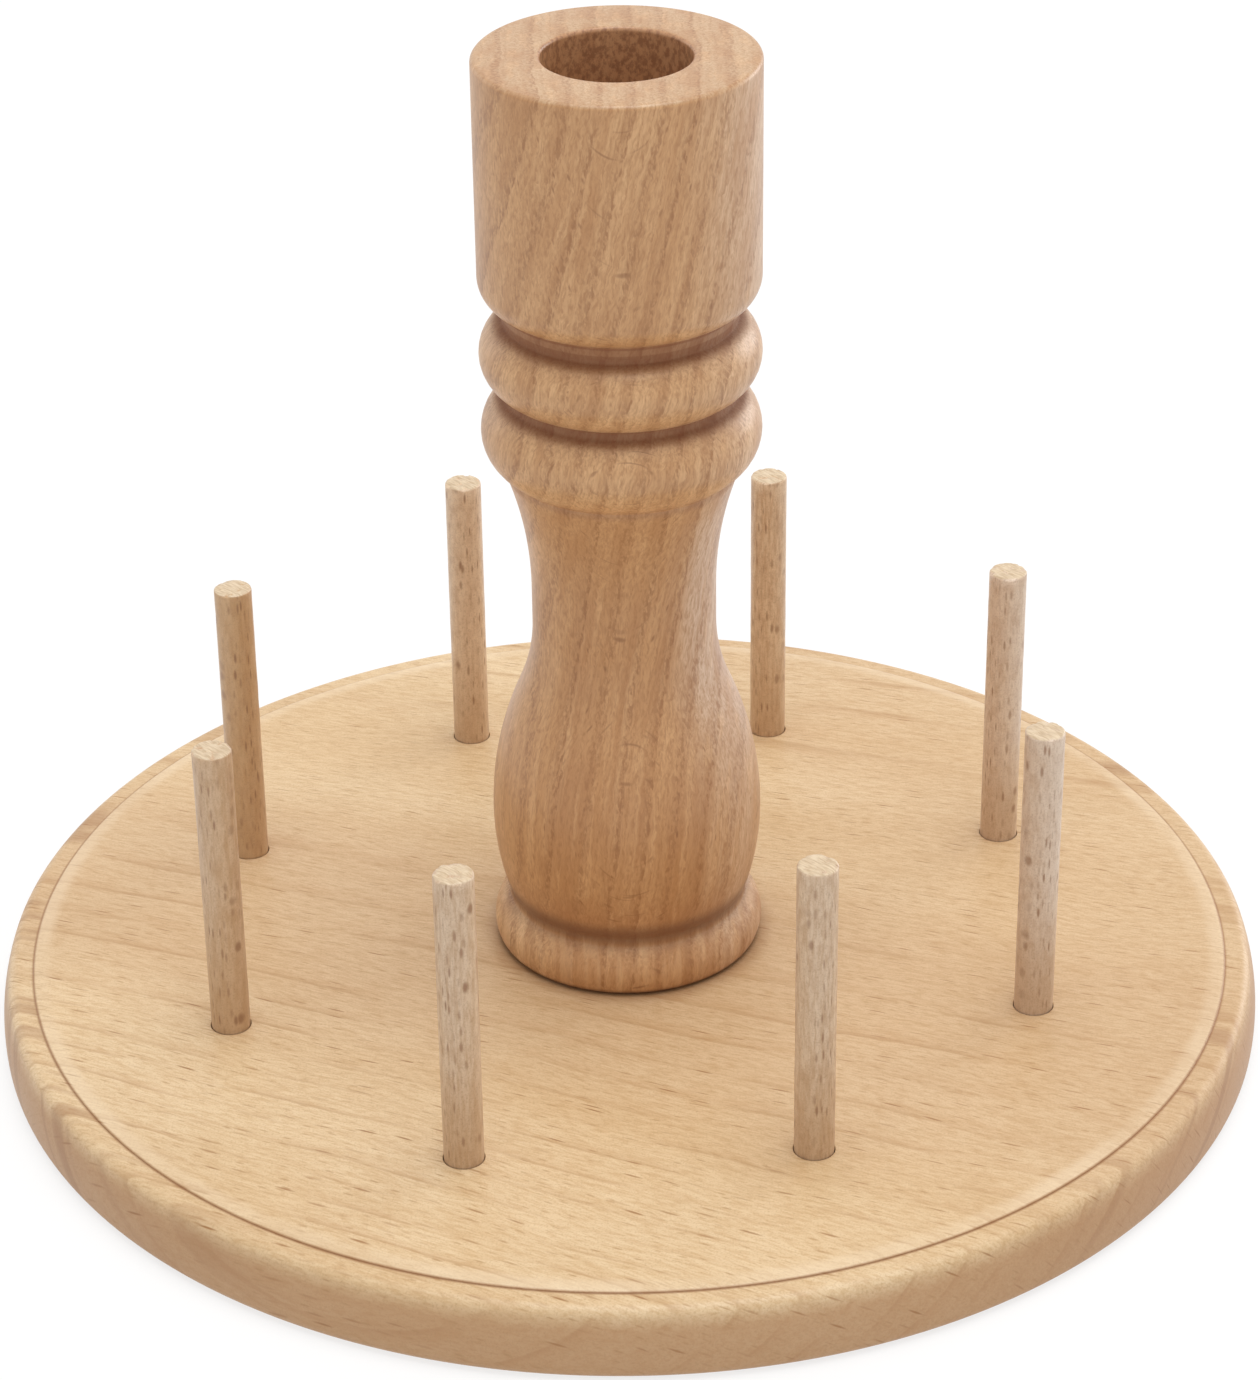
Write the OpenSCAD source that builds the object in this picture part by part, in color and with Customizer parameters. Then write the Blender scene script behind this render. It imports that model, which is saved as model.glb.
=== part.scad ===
// Thread rack: a round wooden plate that carries a ring of upright spool pegs
// and a turned column with a socket in its top. Millimetres, +Z up. The origin
// is the centre of the plate's underside, on the surface that the rack stands on.

/* [Plate] */
// Diameter of the plate
plate_d = 200; // [170:1:260]
// Thickness of the plate
plate_t = 12; // [10:0.5:20]
// Width of the moulded rim outside the raised panel
rim_w = 5.2; // [4:0.1:9]
// Drop from the raised panel to the rim
quirk_depth = 0.5; // [0.2:0.1:1.2]
// Radius of the shoulder at the top of the rim
shoulder_r = 2; // [1:0.1:2.6]
// Radius of the slow curve down the side of the rim
side_r = 20; // [14:1:60]
// Height at which the rim is widest
side_z = 3.5; // [2.5:0.1:5]
// Radius of the round at the bottom of the rim
foot_round_r = 2; // [0.8:0.1:2.4]

/* [Pegs] */
// Number of spool pegs
peg_count = 8; // [3:1:12]
// Diameter of the circle that the pegs stand on
peg_circle_d = 134.4; // [100:0.2:150]
// Angle of the first peg from the X axis
peg_first_angle = -67.5; // [-90:0.5:90]
// Diameter of a peg
peg_d = 6; // [4:0.1:9]
// Length of a peg above the plate
peg_out = 49; // [20:1:120]
// Length of a peg inside the plate
peg_in = 9; // [5:0.5:9.5]
// How much smaller the buried end is in radius at its tip, so that it goes in by hand
peg_lead = 0.2; // [0.05:0.05:0.5]
// Chamfer round the saw-cut ends of a peg
peg_chamfer = 0.4; // [0.1:0.1:1]

/* [Column foot and bulb] */
// Diameter of the ring at the column's foot
ring_d = 42.4; // [39:0.2:60]
// Radius of the ring's rounded face
ring_round_r = 5.5; // [4:0.1:9]
// Height at which the ring is widest
ring_z = 3; // [1:0.1:3.2]
// Diameter at the waist above the ring
waist_d = 37.2; // [34:0.2:37.8]
// Height of the top of the waist
waist_z = 9.2; // [8.8:0.1:10]
// Height of the slanted heel between waist and bulb
heel_h = 1.9; // [0.8:0.1:3]
// Diameter of the bulb
bulb_d = 42; // [40.6:0.2:52]
// Height at which the bulb is widest
bulb_z = 23; // [17:0.5:26]
// Radius of the bulb's curve below its widest point
bulb_low_r = 45; // [34:1:120]

/* [Column neck] */
// Diameter of the neck at its thinnest
neck_d = 28.2; // [22:0.2:32]
// Height at which the neck starts to be at its thinnest
neck_z = 56; // [50:0.5:60]
// Length of the neck's straight middle
neck_straight = 6; // [1:0.5:12]
// Radius of the hollow curve that leads from the neck to the bulb
neck_low_r = 29; // [20:1:40]
// Radius of the hollow curve that leads from the neck up to the beads
neck_top_r = 58; // [50:1:90]
// Height at which the neck meets the lower bead
neck_top_z = 82; // [76:0.5:86]

/* [Column beads and cup] */
// Diameter over the two beads
bead_d = 42.1; // [40:0.2:52]
// Height taken by the lower bead
lower_bead_h = 13; // [10:0.5:14]
// Radius of the lower bead's face
lower_bead_r = 7; // [6.6:0.1:9]
// Height taken by the upper bead
upper_bead_h = 12; // [9:0.5:12.4]
// Radius of the upper bead's face
upper_bead_r = 6; // [5.8:0.1:9]
// Width of the flat at the bottom of the grooves beside the beads
groove_w = 1; // [0.4:0.1:2]
// Diameter of the cup at the column's top
cup_d = 42; // [38:0.2:60]
// Height of the cup
cup_h = 40; // [36:0.5:80]
// Radius of the round under the cup
cup_round_r = 4.5; // [2:0.1:5]
// Height of the groove wall between the upper bead and the cup's round
cup_gap = 2; // [0.5:0.1:3]
// Radius of the round at the cup's top edge
cup_edge_r = 0.8; // [0.2:0.1:2]
// Diameter of the socket bored into the cup
socket_d = 22; // [14:0.5:30]
// Depth of the socket
socket_depth = 38; // [15:1:42]
// Chamfer round the socket's mouth
socket_chamfer = 0.4; // [0.1:0.1:1]

/* [Screw] */
// Diameter of the screw's head
screw_head_d = 9; // [7:0.1:12]
// Diameter of the screw's plain shank
screw_shank_d = 4.5; // [3.5:0.1:5.5]
// Diameter of the screw's core below its shank
screw_core_d = 3.2; // [2:0.1:3.4]
// Length of the screw from the face of its head to its tip
screw_len = 40; // [25:1:60]
// Length of the screw's pointed tip
screw_tip = 4; // [2:0.5:6]
// Depth of the recess that hides the screw's head
recess_depth = 3; // [1:0.5:4]
// Depth of the cross in the screw's head
cross_depth = 1.8; // [0.8:0.1:2.2]
// Width across the arms of the cross
cross_w = 4.6; // [3:0.1:5.5]
// Thickness of one arm of the cross
cross_t = 1; // [0.6:0.1:1.4]

/* [Fits] */
// Clearance all round a peg in its hole
peg_clearance = 0.25; // [0.05:0.05:0.6]
// Clearance under a peg's end
peg_end_clearance = 0.1; // [0.05:0.05:0.5]
// Clearance all round the screw's shank in the plate
shank_clearance = 0.25; // [0.1:0.05:0.6]
// Clearance all round the screw's core in the column
core_clearance = 0.05; // [0.02:0.01:0.1]
// Clearance past the screw's tip
tip_clearance = 2; // [1:0.5:5]
// Clearance all round the screw's head in its recess
head_clearance = 0.75; // [0.3:0.05:1.5]

/* [Hidden] */
$fn = 96;
// Lets a cut run past the face that it opens
over = 1;
// Straight runs in each arc of a turned outline
arc_steps = 10;

plate_r = plate_d / 2;
panel_r = plate_r - rim_w;
rim_z = plate_t - quirk_depth;
peg_r = peg_d / 2;
peg_hole_r = peg_r + peg_clearance;
peg_hole_depth = peg_in + peg_end_clearance;

// The shoulder and the foot round both touch the side's curve without a corner
side_cr = plate_r - side_r;
shoulder_cz = rim_z - shoulder_r;
shoulder_cr = side_cr + sqrt(pow(side_r - shoulder_r, 2) - pow(shoulder_cz - side_z, 2));
shoulder_angle = atan2(shoulder_cz - side_z, shoulder_cr - side_cr);
foot_cr = side_cr + sqrt(pow(side_r - foot_round_r, 2) - pow(foot_round_r - side_z, 2));
foot_angle = atan2(foot_round_r - side_z, foot_cr - side_cr);

ring_cr = ring_d / 2 - ring_round_r;
waist_r = waist_d / 2;
bulb_r = bulb_d / 2;
neck_r = neck_d / 2;
bead_r = bead_d / 2;
cup_r = cup_d / 2;
heel_z = waist_z + heel_h;

// The bulb's upper curve meets the neck's lower curve without a corner
neck_low_cr = neck_r + neck_low_r;
bulb_reach = neck_low_cr - bulb_r;
bulb_top_r = (pow(bulb_reach, 2) + pow(neck_z - bulb_z, 2) - pow(neck_low_r, 2))
    / (2 * (neck_low_r - bulb_reach));
meet_angle = atan2(neck_z - bulb_z, bulb_reach + bulb_top_r);

lower_bead_z = neck_top_z + lower_bead_h / 2;
upper_bead_z = neck_top_z + lower_bead_h + upper_bead_h / 2;
cup_z = neck_top_z + lower_bead_h + upper_bead_h;
cup_round_z = cup_z + cup_gap + cup_round_r;
column_h = cup_z + cup_h;

screw_z = recess_depth;
head_h = (screw_head_d - screw_shank_d) / 2;
shank_end_z = plate_t;
tip_z = screw_z + screw_len;
pilot_depth = tip_z + tip_clearance - plate_t;

PEGS = [for (i = [1:peg_count]) str("peg_", i)];

// Points [radius, height] along an arc about [cr, cz], from one angle to another
function arc(cr, cz, r, from, to) =
    [for (i = [0:arc_steps])
        let (a = from + (to - from) * i / arc_steps)
        [cr + r * cos(a), cz + r * sin(a)]];

// Half of the angle that a bead's face spans between its two grooves
function bead_angle(h, r) = asin((h - groove_w) / 2 / r);

// The face of a bead, from its lower groove to its upper one
function bead(z, h, r) = arc(bead_r - r, z, r, -bead_angle(h, r), bead_angle(h, r));

// Outline of the plate, from the axis out under the rim and back over the panel
function plate_outline() = concat(
    [[0, 0]],
    arc(foot_cr, foot_round_r, foot_round_r, -90, foot_angle),
    arc(side_cr, side_z, side_r, foot_angle, shoulder_angle),
    arc(shoulder_cr, shoulder_cz, shoulder_r, shoulder_angle, 90),
    [[panel_r, rim_z], [panel_r, plate_t], [0, plate_t]]
);

// Foot ring of the column, up to its waist
function ring_outline() = concat(
    [[0, 0]],
    arc(ring_cr, ring_z, ring_round_r, -asin(ring_z / ring_round_r),
        acos((waist_r - ring_cr) / ring_round_r)),
    [[waist_r, waist_z]]
);

// Bulb and neck of the column
function neck_outline() = concat(
    arc(bulb_r - bulb_low_r, bulb_z, bulb_low_r, -asin((bulb_z - heel_z) / bulb_low_r), 0),
    arc(bulb_r - bulb_top_r, bulb_z, bulb_top_r, 0, meet_angle),
    arc(neck_low_cr, neck_z, neck_low_r, 180 + meet_angle, 180),
    arc(neck_r + neck_top_r, neck_z + neck_straight, neck_top_r, 180,
        180 - asin((neck_top_z - neck_z - neck_straight) / neck_top_r))
);

// Cup of the column, from the groove wall under it to its top face
function cup_outline() = concat(
    arc(cup_r - cup_round_r, cup_round_z, cup_round_r, -70, 0),
    arc(cup_r - cup_edge_r, column_h - cup_edge_r, cup_edge_r, 0, 90),
    [[0, column_h]]
);

function column_outline() = concat(
    ring_outline(),
    neck_outline(),
    bead(lower_bead_z, lower_bead_h, lower_bead_r),
    bead(upper_bead_z, upper_bead_h, upper_bead_r),
    cup_outline()
);

// Places its child at the foot of each peg, or of one peg alone
module at_peg(i) {
    rotate([0, 0, peg_first_angle + (i - 1) * 360 / peg_count])
        translate([peg_circle_d / 2, 0, plate_t])
            children();
}

// Space that the screw needs under the plate: recess, countersink and clearance hole
module screw_way() {
    translate([0, 0, -over])
        cylinder(r = screw_head_d / 2 + head_clearance, h = recess_depth + over);
    translate([0, 0, screw_z])
        cylinder(r1 = screw_head_d / 2, r2 = screw_shank_d / 2, h = head_h);
    translate([0, 0, screw_z])
        cylinder(r = screw_shank_d / 2 + shank_clearance, h = plate_t);
}

module base_plate() {
    color([0.86, 0.74, 0.56])
        difference() {
            rotate_extrude()
                polygon(plate_outline());
            screw_way();
            for (i = [1:peg_count])
                at_peg(i)
                    translate([0, 0, -peg_hole_depth])
                        cylinder(r = peg_hole_r, h = peg_hole_depth + over);
        }
}

// Socket in the cup, open at the top with a chamfered mouth
module socket() {
    translate([0, 0, column_h - socket_depth])
        cylinder(d = socket_d, h = socket_depth + over);
    translate([0, 0, column_h - socket_chamfer])
        cylinder(d1 = socket_d, d2 = socket_d + 2 * socket_chamfer + 2 * over, h = socket_chamfer + over);
}

module column() {
    color([0.74, 0.57, 0.41])
        translate([0, 0, plate_t])
            difference() {
                rotate_extrude()
                    polygon(column_outline());
                socket();
                translate([0, 0, -over])
                    cylinder(r = screw_core_d / 2 + core_clearance, h = pilot_depth + over);
            }
}

// Peg with a saw-cut top and a buried end that tapers a little
module peg(i) {
    color([0.79, 0.68, 0.53])
        at_peg(i)
            rotate_extrude()
                polygon([
                    [0, -peg_in],
                    [peg_r - peg_lead - peg_chamfer, -peg_in],
                    [peg_r - peg_lead, -peg_in + peg_chamfer],
                    [peg_r, 0],
                    [peg_r, peg_out - peg_chamfer],
                    [peg_r - peg_chamfer, peg_out],
                    [0, peg_out]
                ]);
}

// Countersunk wood screw, driven up through the plate into the column's foot
module column_screw() {
    color([0.72, 0.72, 0.74])
        difference() {
            translate([0, 0, screw_z])
                rotate_extrude()
                    polygon([
                        [0, 0],
                        [screw_head_d / 2, 0],
                        [screw_shank_d / 2, head_h],
                        [screw_shank_d / 2, shank_end_z - screw_z],
                        [screw_core_d / 2, shank_end_z - screw_z],
                        [screw_core_d / 2, screw_len - screw_tip],
                        [0, screw_len]
                    ]);
            for (turn = [0, 90])
                rotate([0, 0, turn])
                    translate([-cross_w / 2, -cross_t / 2, screw_z - over])
                        cube([cross_w, cross_t, cross_depth + over]);
        }
}

base_plate();
column();
column_screw();
for (i = [1:peg_count]) {
    peg(i);
}
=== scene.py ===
# Thread rack: a round beech plate with a moulded rim, a ring of eight spool pegs and a
# turned column with a socket in its top. Everything is in metres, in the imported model's frame.
import math

import bmesh
import bpy
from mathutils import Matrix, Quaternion, Vector, noise


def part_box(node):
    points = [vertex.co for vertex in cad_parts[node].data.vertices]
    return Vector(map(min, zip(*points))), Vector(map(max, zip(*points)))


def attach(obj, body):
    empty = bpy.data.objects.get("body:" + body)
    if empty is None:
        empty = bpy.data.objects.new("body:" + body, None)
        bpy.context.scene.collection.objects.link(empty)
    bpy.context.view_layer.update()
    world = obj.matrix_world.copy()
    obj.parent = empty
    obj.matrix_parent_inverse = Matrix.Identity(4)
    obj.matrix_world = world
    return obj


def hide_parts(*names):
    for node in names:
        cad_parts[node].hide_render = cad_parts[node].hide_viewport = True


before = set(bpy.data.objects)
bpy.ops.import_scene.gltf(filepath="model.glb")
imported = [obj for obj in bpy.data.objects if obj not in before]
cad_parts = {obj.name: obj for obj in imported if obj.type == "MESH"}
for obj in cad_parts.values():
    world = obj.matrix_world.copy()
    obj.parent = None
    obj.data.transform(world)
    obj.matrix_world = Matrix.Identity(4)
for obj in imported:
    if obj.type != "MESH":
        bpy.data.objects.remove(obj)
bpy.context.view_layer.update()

# Outlines and wood patterns are written in millimetres, and lamps and the camera in metres
MM = 0.001


# Sizes read from the frame
def in_mm(corner):
    """A corner's coordinates in millimetres, without the few microns that facets take off."""
    return Vector([round(value / MM, 1) for value in corner])


PEGS = sorted(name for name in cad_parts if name.startswith("peg_"))
plate_high = in_mm(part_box("base_plate")[1])
column_low, column_high = map(in_mm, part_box("column"))
peg_low, peg_high = map(in_mm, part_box(PEGS[0]))
screw_low, screw_high = map(in_mm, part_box("column_screw"))
PLATE_R = plate_high.x
PLATE_TOP = plate_high.z
COLUMN_H = column_high.z - column_low.z
PEG_OUT = peg_high.z - PLATE_TOP
PEG_IN = PLATE_TOP - peg_low.z

# Plate
RIM_W = 5.2
PANEL_R = PLATE_R - RIM_W
QUIRK_DEPTH = 0.5
SHOULDER_R = 2.0
SIDE_R, SIDE_Z = 20.0, 3.5
FOOT_R = 2.0
PANEL_ROUND_W, PANEL_ROUND_H = 2.6, 0.4
PLATE_EASE = 0.15
PEG_HOLE_R, PEG_HOLE_DEPTH, PEG_HOLE_EASE = 3.13, 9.1, 0.05
RECESS_R = 5.25
SHANK_HOLE_R = 2.5

# Column: foot ring, waist, bulb, neck, beads and cup, with heights above the plate
RING_R, RING_ROUND_R, RING_Z = 21.2, 5.5, 3.0
FOOT_EASE_W, FOOT_EASE_H = 0.8, 0.45
WAIST_R, WAIST_Z, HEEL_H = 18.6, 9.2, 1.9
BULB_R, BULB_Z, BULB_LOW_R = 21.0, 23.0, 45.0
NECK_R, NECK_Z, NECK_STRAIGHT = 14.1, 56.0, 6.0
NECK_LOW_R, NECK_TOP_R, NECK_TOP_Z = 29.0, 58.0, 82.0
BEAD_R, GROOVE_W = 21.05, 1.0
LOWER_BEAD_H, LOWER_BEAD_ROUND_R = 13.0, 7.0
UPPER_BEAD_H, UPPER_BEAD_ROUND_R = 12.0, 6.0
CUP_R, CUP_GAP, CUP_EDGE_R = 21.0, 2.0, 0.8
CUP_ROUND_R, CUP_ROUND_START = 4.5, -70
SOCKET_R, SOCKET_DEPTH, SOCKET_CHAMFER = 11.0, 38.0, 0.4
PILOT_R, PILOT_DEPTH = 1.65, 33.0
GROOVE_EASE = 0.35
GROOVE_Z = NECK_TOP_Z + LOWER_BEAD_H
CUP_Z = GROOVE_Z + UPPER_BEAD_H
# The bands hold burn lines from the turning tool and painted shadow under the beads and the cup
BURN_AND_SHADOW_BANDS = ((GROOVE_Z - 1.3, GROOVE_Z + 0.6), (CUP_Z - 1.2, CUP_Z + 0.2))

# Pegs
PEG_R, PEG_LEAD, PEG_CHAMFER = 3.0, 0.2, 0.4
PEG_WOBBLE, PEG_PATCH = 0.05, 2.5
PEG_RUNGS, PEG_END_RINGS = 24, (2.0, 1.2, 0.6, 0)
TEAR_START, TEAR_FADE, TEAR_DEPTH = 0.5, 0.3, 0.3
CHIPS_PER_MM, SMALL_CHIPS_PER_MM, CHIP_DEPTH, SMALL_CHIP_SHARE = 0.9, 2.6, 0.45, 0.5

# Screw
HEAD_R, SHANK_R, CORE_R = 4.5, 2.25, 1.6
SCREW_TIP, SCREW_EASE = 4.0, 0.12
THREAD_R, THREAD_PITCH = 2.2, 1.8
THREAD_START, THREAD_STOP = PLATE_TOP + 0.4, screw_high.z - 1
CROSS_W, CROSS_T, CROSS_DEPTH, CROSS_TAPER = 4.6, 1.0, 1.8, 0.62

# Meshes: facets round a turned piece, degrees from which an edge is crisp, and metres below
# which points are joined and edges taken out
PLATE_FACETS, COLUMN_FACETS, SMALL_FACETS, THREAD_FACETS = 256, 160, 48, 28
CRISP_ANGLE, PEG_CRISP_ANGLE = 30, 40
WELD_DISTANCE, SHORTEST_EDGE = 1e-7, 1e-8


class Socket:
    """A node's output, on which Python's arithmetic adds Math nodes."""

    def __init__(self, graph, link):
        self.graph = graph
        self.link = link

    def other(self, name):
        """Another output of the same node."""
        return Socket(self.graph, self.link.node.outputs[name])

    def __add__(self, other):
        return self.graph.math("ADD", self, other)

    def __radd__(self, other):
        return self.graph.math("ADD", other, self)

    def __sub__(self, other):
        return self.graph.math("SUBTRACT", self, other)

    def __rsub__(self, other):
        return self.graph.math("SUBTRACT", other, self)

    def __mul__(self, other):
        return self.graph.math("MULTIPLY", self, other)

    def __rmul__(self, other):
        return self.graph.math("MULTIPLY", other, self)

    def __truediv__(self, other):
        return self.graph.math("DIVIDE", self, other)

    def __rtruediv__(self, other):
        return self.graph.math("DIVIDE", other, self)

    def __pow__(self, other):
        return self.graph.math("POWER", self, other)


class Graph:
    """A node tree that is built from Python expressions."""

    def __init__(self, tree):
        self.tree = tree
        tree.nodes.clear()

    def node(self, kind, settings=None, values=(), output=0):
        """Adds a node: its settings first, then its sockets' values or links, by order or by name."""
        made = self.tree.nodes.new(kind)
        for key, value in (settings or {}).items():
            setattr(made, key, value)
        for key, value in values.items() if isinstance(values, dict) else enumerate(values):
            if isinstance(value, Socket):
                self.tree.links.new(value.link, made.inputs[key])
            else:
                made.inputs[key].default_value = value
        return Socket(self, made.outputs[output] if made.outputs else None)

    def math(self, operation, *values):
        return self.node("ShaderNodeMath", {"operation": operation}, values)

    def vector(self, x, y, z):
        return self.node("ShaderNodeCombineXYZ", None, (x, y, z))

    def parts(self, vector):
        """The x, y and z of a vector."""
        x = self.node("ShaderNodeSeparateXYZ", None, (vector,))
        return x, x.other("Y"), x.other("Z")

    def vector_math(self, operation, values, output=0):
        return self.node("ShaderNodeVectorMath", {"operation": operation}, values, output)

    def scaled(self, vector, factor):
        return self.vector_math("SCALE", {"Vector": vector, "Scale": factor})

    def added(self, a, b):
        return self.vector_math("ADD", (a, b))

    def distance(self, a, b):
        """How far a point lies from an axis, given both its distances square to it."""
        return self.math("SQRT", a * a + b * b)

    def noise(self, vector, detail=2.0, roughness=0.5):
        """Soft noise from 0 to 1, with features about one unit across."""
        values = {"Vector": vector, "Scale": 1.0, "Detail": detail, "Roughness": roughness}
        return self.node("ShaderNodeTexNoise", None, values)

    def step(self, value, low, high):
        """0 below low, 1 above high and smooth between them; low may be the greater one."""
        values = {"Value": value, "From Min": low, "From Max": high}
        return self.node("ShaderNodeMapRange", {"interpolation_type": "SMOOTHSTEP"}, values)

    def between(self, value, rise, fall):
        """1 between two soft edges: the first starts and ends at rise, the second at fall."""
        return self.step(value, *rise) * self.step(value, *reversed(fall))

    def near(self, value, target, reach, core=0.0):
        """1 within core of a target, falling to 0 at reach from it."""
        return self.step(self.math("ABSOLUTE", value - target), reach, core)


def tint(red, green, blue):
    """A colour given as screen values from 0 to 255, as the linear colour that shaders take."""
    levels = [value / 255 for value in (red, green, blue)]
    return tuple(v / 12.92 if v <= 0.04045 else ((v + 0.055) / 1.055) ** 2.4 for v in levels) + (1.0,)


class Finish(Graph):
    """A material under construction, whose colour is built up in layers."""

    def __init__(self, name, level=0.0):
        """Starts a material whose heights count from level, in millimetres."""
        self.material = bpy.data.materials.new(name)
        self.material.use_nodes = True
        super().__init__(self.material.node_tree)
        place = self.node("ShaderNodeTexCoord", output="Object")
        x, y, z = self.parts(self.scaled(place, 1 / MM))
        self.place = x, y, z - level

    def cloud(self, width, depth, height, detail=2.0, roughness=0.5):
        """Noise with features of the given size along x, y and z."""
        x, y, z = self.place
        return self.noise(self.vector(x / width, y / depth, z / height), detail, roughness)

    def mixed(self, share, a, b, mode="MIX"):
        """Colour a, turning into b as share goes from 0 to 1."""
        values = {0: share, 6: a, 7: b}
        return self.node("ShaderNodeMix", {"data_type": "RGBA", "blend_type": mode}, values, 2)

    def stain(self, share, red, green, blue, mode="MIX"):
        """Takes the colour so far a share of the way to a shade, given as screen values."""
        self.colour = self.mixed(share, self.colour, tint(red, green, blue), mode)

    def flecks(self, vector, half):
        """Soft ellipsoids with the given half sizes, one to a unit cell, each with its own strength."""
        scatter, core = 0.85, 0.3
        values = {"Vector": vector, "Scale": 1.0, "Randomness": scatter}
        cell = self.node("ShaderNodeTexVoronoi", {"feature": "F1"}, values)
        strength = self.parts(cell.other("Color"))[0]
        reach = self.vector_math("SUBTRACT", (vector, cell.other("Position")))
        reach = self.vector_math("DIVIDE", (reach, half))
        return self.step(self.vector_math("LENGTH", (reach,), "Value"), 1.0, core), strength

    def bump(self, height, depth):
        """Relief from a height between 0 and 1, over a depth in millimetres."""
        return self.node("ShaderNodeBump", None, {"Strength": 1.0, "Distance": depth * MM, "Height": height})

    def surface(self, roughness, normal, **sockets):
        """Ends the material with its shader, whose other sockets are given by name."""
        values = {"Base Color": self.colour, "Roughness": roughness, "Normal": normal}
        values.update((name.replace("_", " "), value) for name, value in sockets.items())
        shader = self.node("ShaderNodeBsdfPrincipled", None, values)
        self.node("ShaderNodeOutputMaterial", None, {"Surface": shader})
        return self.material


class Beech(Finish):
    """Beech, worked out in the solid, so that every cut through it shows the right figure.

    along runs with the grain, across runs over the faces of the growth rings' layers and
    through runs from one ring to the next, all in millimetres."""

    def grain(self, along, across, through):
        """Sets how the grain runs for the figure that is made next."""
        self.along, self.across, self.through = along, across, through

    def stretched(self, length, width, depth, shift=0.0):
        """The grain's own coordinates, in units of a feature's length, width and depth."""
        return self.vector(self.along / length + shift, self.across / width + shift, self.through / depth)

    def late_wood(self, spacing, start):
        """A line that grows from start to the end of each ring and then stops."""
        part = self.math("FRACT", self.through / spacing)
        return self.between(part, (start, 0.93), (0.95, 1.0))

    def streaks(self, length, width, detail=3.0, shift=0.0):
        """Noise drawn out along the grain."""
        return self.noise(self.stretched(length, width, width, shift), detail, 0.6)

    def rays(self, block, ray, shift=0.0):
        """Ray cells: flat bodies that lie along the grain and from ring to ring, one to a block."""
        half = tuple(part / whole / 2 for part, whole in zip(ray, block))
        return self.flecks(self.stretched(*block, shift), half)


# Finishes
def plate_beech():
    """A light board whose grain sinks to the right, a little more so in front.

    Its growth rings are arcs about the pith, which lay below the board and a little behind its
    middle."""
    f = Beech("plate_beech")
    x, y, z = f.place
    slope, fan, stretch = -0.375, 0.0013, 1.07
    pith_v, pith_z, face_r = 35.0, -100.0, 150
    ring_gap = 4.3
    warp = f.cloud(50, 24, 60, 1.0) - 0.5
    v = (y - slope * x) / (1 + fan * x) + 5 * warp
    radius = f.distance(v - pith_v, z - pith_z)
    angle = f.math("ARCTAN2", v - pith_v, z - pith_z)
    f.grain(x * stretch, angle * face_r, radius)

    # The board's own tone with a darker heart, and darker towards the right and back
    broad = f.noise(f.stretched(150, 26, 26, 3.1), 2.0)
    heart = f.between(v, (-66, -30), (2, 34))
    f.colour = f.mixed(f.step(broad, 0.3, 0.7), tint(233, 207, 168), tint(223, 193, 151))
    f.stain(heart * 0.65, 212, 179, 140)
    f.stain(f.step(x + 0.5 * y, 25, 80) * 0.45, 210, 177, 138)

    # Streaks and growth rings
    ripple = f.streaks(5, 1.1, 3.0)
    fine = f.streaks(1.8, 0.4, 2.0, 5.0)
    shown = f.step(f.streaks(30, 5, 2.0, 9.0), 0.4, 0.62)
    f.stain(f.step(ripple, 0.35, 0.7) * 0.4, 229, 215, 195, "MULTIPLY")
    f.stain(f.step(fine, 0.4, 0.7) * 0.42, 222, 204, 180, "MULTIPLY")
    f.stain(f.late_wood(ring_gap, 0.5) * shown * 0.25, 188, 144, 98)
    f.stain(f.late_wood(ring_gap, 0.84) * shown * 0.28, 170, 126, 80)

    # Rim: painted shade on its side, deepening downwards, with darker end grain to the left and right
    radial = f.distance(x, y)
    rim = f.step(radial, PANEL_R - 0.2, PANEL_R + 0.5)
    end_grain = f.step(f.math("ABSOLUTE", x) / radial, 0.45, 0.9) * rim
    band = f.step(f.noise(f.vector(radius / 2.4, x / 40, 2.0), 1.0), 0.5, 0.66)
    f.stain(f.step(z, PLATE_TOP - 0.6, PLATE_TOP - 4) * rim * 0.7, 181, 134, 92)
    f.stain(end_grain * f.step(z, PLATE_TOP, PLATE_TOP - 5) * 0.2, 172, 128, 92)
    f.stain(end_grain * band * 0.5, 158, 112, 74)

    # Rays and pores
    long_ray, long_strength = f.rays((6.0, 1.5, 5), (4.6, 0.42, 4))
    short_ray, short_strength = f.rays((3.4, 1.1, 3), (2.2, 0.38, 2.4), 11.0)
    speck = f.cloud(0.3, 0.3, 0.3, 1.0)
    f.stain(short_ray * short_strength * 0.7, 178, 137, 92)
    f.stain(long_ray * long_strength ** 2 * 0.95, 160, 112, 66)
    f.stain(f.step(speck, 0.45, 0.8) * 0.3, 170, 130, 86)

    # On the top: painted sheen along the panel's rounded edge, a dark line in the quirk that is partly
    # router burn and partly painted shade, and painted shade round the column's foot
    upper = f.step(z, PLATE_TOP - 2, PLATE_TOP - 1)
    edge_sheen = f.between(radial, (PANEL_R - 3.4, PANEL_R - 1.4), (PANEL_R - 0.4, PANEL_R)) * upper
    patchy = f.step(f.noise(f.vector(x / 30, y / 30, 4.0), 2.0), 0.35, 0.6)
    quirk = f.near(radial, PANEL_R, 0.4) * f.step(z, PLATE_TOP - 0.1, PLATE_TOP - 0.3) * upper
    f.stain(edge_sheen * (0.15 + 0.25 * patchy), 240, 218, 186)
    f.stain(quirk * 0.7, 142, 90, 48)
    f.stain(f.step(radial, RING_R + 3, RING_R - 1) * upper * 0.5, 150, 100, 58)

    relief = ripple * 0.4 + fine * 0.4 + speck * 0.3 - long_ray * long_strength * 0.5
    return f.surface(0.38 + 0.12 * fine, f.bump(relief, 0.03), IOR=1.45)


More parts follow.
